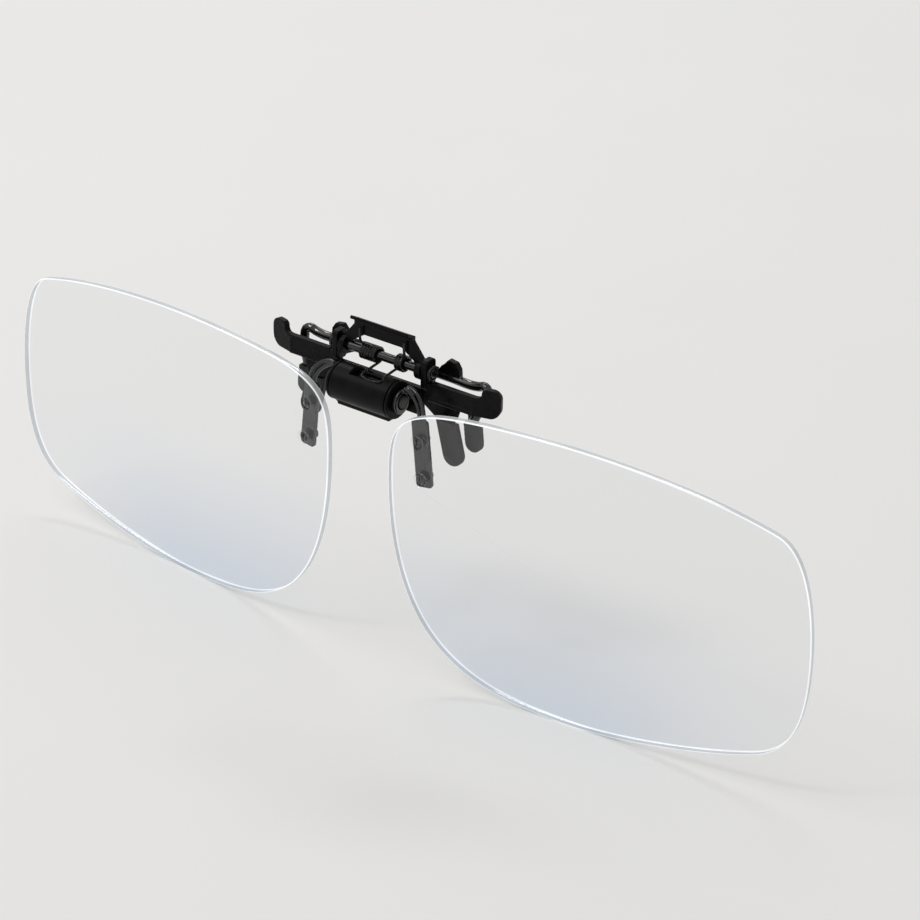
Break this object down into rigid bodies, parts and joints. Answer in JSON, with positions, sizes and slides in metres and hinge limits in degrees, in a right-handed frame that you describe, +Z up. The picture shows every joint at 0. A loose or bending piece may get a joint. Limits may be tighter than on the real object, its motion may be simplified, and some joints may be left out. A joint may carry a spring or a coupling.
{
  "type": "clip-on flip-up eyewear lenses",
  "caption": "Rimless clip-on lenses on a black spring clip, which flip up about a hinge barrel and grip a spectacle frame between sleeved claws.",
  "frame": {"origin": "centre of the flat underside of the hinge barrel, which rests on the spectacles' bridge", "axes": "+X towards the wearer's left, +Y back towards the ears, +Z up"},
  "size_m": [0.1422, 0.01, 0.0509],
  "materials": {
    "lens": "clear polycarbonate with a faint cool blue tint, polished edges",
    "black_metal": "semi-gloss black lacquer on pressed sheet and wire",
    "black_plastic": "fine satin black moulding",
    "black_steel": "blackened steel, slightly glossy",
    "soft_sleeve": "matt dark grey soft sleeve"
  },
  "bodies": {
    "clip_body": {"barrel_housing": "black_plastic", "left_barrel_cap": "black_plastic", "right_barrel_cap": "black_plastic", "detent_spring": "black_steel", "left_housing_rivet": "black_steel", "right_housing_rivet": "black_steel", "front_bracket": "black_metal", "left_front_claw_sleeve": "soft_sleeve", "right_front_claw_sleeve": "soft_sleeve", "cross_shaft": "black_steel", "left_shaft_retainer": "black_steel", "right_shaft_retainer": "black_steel", "clamp_spring": "black_steel"},
    "lens_carrier": {"left_lens": "lens", "right_lens": "lens", "left_lens_arm": "black_metal", "right_lens_arm": "black_metal", "left_upper_lens_screw": "black_steel", "right_upper_lens_screw": "black_steel", "left_upper_lens_nut": "black_steel", "right_upper_lens_nut": "black_steel", "left_lower_lens_screw": "black_steel", "right_lower_lens_screw": "black_steel", "left_lower_lens_nut": "black_steel", "right_lower_lens_nut": "black_steel", "flip_roller": "black_steel"},
    "rear_jaw": {"rear_lever": "black_metal", "left_rear_claw_sleeve": "soft_sleeve", "right_rear_claw_sleeve": "soft_sleeve"}
  },
  "joints": [
    {"name": "lens_flip", "type": "hinge", "parent": "clip_body", "child": "lens_carrier", "pos_m": [0, 0, 0.0032], "axis": [-1, 0, 0], "range_deg": [0, 90]},
    {"name": "clamp_open", "type": "hinge", "parent": "clip_body", "child": "rear_jaw", "pos_m": [0, 0.0035, 0.007], "axis": [1, 0, 0], "range_deg": [0, 25], "stiffness_Nm_per_rad": 0.01, "deforming": ["clamp_spring"]}
  ]
}
